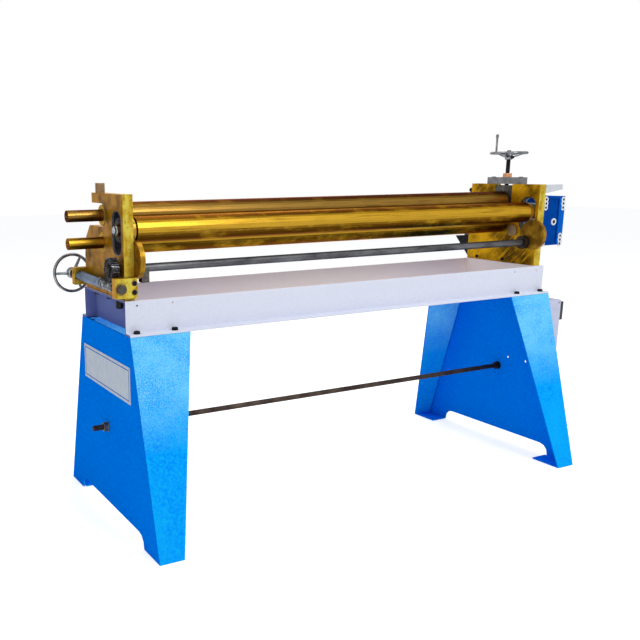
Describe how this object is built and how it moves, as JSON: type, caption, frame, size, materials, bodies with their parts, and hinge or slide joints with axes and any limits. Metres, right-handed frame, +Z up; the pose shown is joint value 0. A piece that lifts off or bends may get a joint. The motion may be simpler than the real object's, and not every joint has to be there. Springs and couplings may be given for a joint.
{
  "type": "plate rolling machine",
  "caption": "Motor-driven sheet and plate rolling machine on a folded stand, with a worm-lifted bending roll and a screw-adjusted upper roll.",
  "frame": {"origin": "on the floor under the middle of the bounding box", "axes": "+X along the rolls towards the drive, +Y from the operator's side to the rear, +Z up"},
  "size_m": [1.622, 0.618, 0.973],
  "materials": {
    "gold": "gold-brown passivated steel plate, brushed",
    "roll": "ground roll steel with a gold-brown film",
    "blue": "azure hammertone paint",
    "bed": "pale lavender-white paint",
    "black": "blackened steel",
    "brown": "dark browned steel",
    "steel": "turned grey steel",
    "dark": "dark machined steel",
    "chrome": "bright chrome plate",
    "zinc": "bright zinc plate",
    "copper": "copper-coloured nut",
    "bronze": "bearing bronze",
    "gearbox": "blue enamel",
    "box": "pale lavender-white paint",
    "plastic": "dark grey plastic",
    "green": "green plastic",
    "red": "red plastic",
    "plate": "bare pale metal plate"
  },
  "bodies": {
    "base": {"bed": "bed", "block_lock_bolt": "black", "cap_bar": "steel", "control_box": "box", "control_cover": "box", "fan_cover": "plastic", "front_worm_block": "gold", "gearbox_cover": "gearbox", "gearbox_housing": "gearbox", "keeper_plate": "steel", "left_frame": "gold", "left_leg": "blue", "left_roll_bush": "bronze", "left_shaft_bush": "bronze", "left_tie_rod_inner_nut": "black", "left_tie_rod_outer_nut": "black", "motor_housing": "gearbox", "name_plate": "plate", "rear_gusset": "black", "rear_worm_block": "gold", "right_frame": "gold", "right_leg": "blue", "right_roll_bush": "bronze", "right_shaft_bush": "bronze", "right_tie_rod_inner_nut": "black", "right_tie_rod_outer_nut": "black", "screw_nut": "copper", "side_bracket": "bed", "spacer_flange": "gearbox", "switch_housing": "plastic", "tie_rod": "brown"},
    "cross_shaft_body": {"cross_shaft": "dark", "shaft_stop": "brown", "left_lift_cam": "gold", "right_lift_cam": "gold", "worm_wheel": "dark"},
    "worm_body": {"worm_shaft": "steel", "spacer_sleeve": "steel", "side_handwheel": "chrome"},
    "bending_carriage": {"left_bending_block": "dark", "right_bending_block": "dark"},
    "bending_roll_body": {"bending_roll": "roll", "left_roll_bolt": "zinc", "right_roll_bolt": "zinc"},
    "lower_roll_body": {"lower_roll": "roll", "drive_wheel": "bronze"},
    "motor_body": {"motor_shaft": "steel", "fan": "plastic"},
    "upper_block_body": {"upper_block": "dark"},
    "screw_body": {"adjusting_screw": "black", "top_handwheel": "chrome", "crank_handle": "chrome"},
    "swing_carrier": {"mouth_bush": "bronze", "swivel_bush": "bronze"},
    "upper_roll_body": {"upper_roll": "roll"},
    "locking_pin_body": {"locking_pin": "brown"},
    "start_button_body": {"start_button": "green"},
    "stop_button_body": {"stop_button": "red"}
  },
  "joints": [
    {"name": "cross_shaft_turn", "type": "hinge", "parent": "base", "child": "cross_shaft_body", "pos_m": [-0.048, -0.096, 0.651], "axis": [1, 0, 0], "range_deg": [-22.2, 41.3]},
    {"name": "worm_turn", "type": "hinge", "parent": "base", "child": "worm_body", "pos_m": [-0.74, -0.096, 0.612], "axis": [0, 1, 0], "range_deg": [-1238, 664]},
    {"name": "bending_lift", "type": "slide", "parent": "base", "child": "bending_carriage", "axis": [0, 0, 1], "range_m": [-0.028, 0.015]},
    {"name": "bending_roll_spin", "type": "hinge", "parent": "bending_carriage", "child": "bending_roll_body", "pos_m": [-0.048, -0.088, 0.74], "axis": [1, 0, 0], "continuous": true},
    {"name": "lower_roll_spin", "type": "hinge", "parent": "base", "child": "lower_roll_body", "pos_m": [-0.048, 0.01, 0.705], "axis": [1, 0, 0], "continuous": true},
    {"name": "motor_spin", "type": "hinge", "parent": "base", "child": "motor_body", "pos_m": [0.763, 0.01, 0.655], "axis": [0, 1, 0], "continuous": true},
    {"name": "upper_adjust", "type": "slide", "parent": "base", "child": "upper_block_body", "axis": [0, 0, 1], "range_m": [-0.0025, 0.0025]},
    {"name": "screw_turn", "type": "hinge", "parent": "upper_block_body", "child": "screw_body", "pos_m": [0.6145, 0.01, 0.77], "axis": [0, 0, 1], "range_deg": [-451, 451]},
    {"name": "upper_swing", "type": "hinge", "parent": "upper_block_body", "child": "swing_carrier", "pos_m": [0.6145, 0.01, 0.77], "axis": [0, 0, 1], "range_deg": [-6, 0]},
    {"name": "upper_roll_spin", "type": "hinge", "parent": "swing_carrier", "child": "upper_roll_body", "pos_m": [-0.048, 0.01, 0.77], "axis": [1, 0, 0], "continuous": true},
    {"name": "locking_pin_slide", "type": "slide", "parent": "base", "child": "locking_pin_body", "axis": [0, 0, 1], "range_m": [-0.023, 0]},
    {"name": "start_press", "type": "slide", "parent": "base", "child": "start_button_body", "axis": [1, 0, 0], "range_m": [-0.003, 0], "stiffness_N_per_m": 400},
    {"name": "stop_press", "type": "slide", "parent": "base", "child": "stop_button_body", "axis": [1, 0, 0], "range_m": [-0.003, 0], "stiffness_N_per_m": 400}
  ],
  "couplings": [
    {"joint": "cross_shaft_turn", "follows": "bending_lift", "rad_per_m": -25.667},
    {"joint": "worm_turn", "follows": "bending_lift", "rad_per_m": 770},
    {"joint": "motor_spin", "follows": "lower_roll_spin", "ratio": -30},
    {"joint": "screw_turn", "follows": "upper_adjust", "rad_per_m": 3141.6}
  ]
}
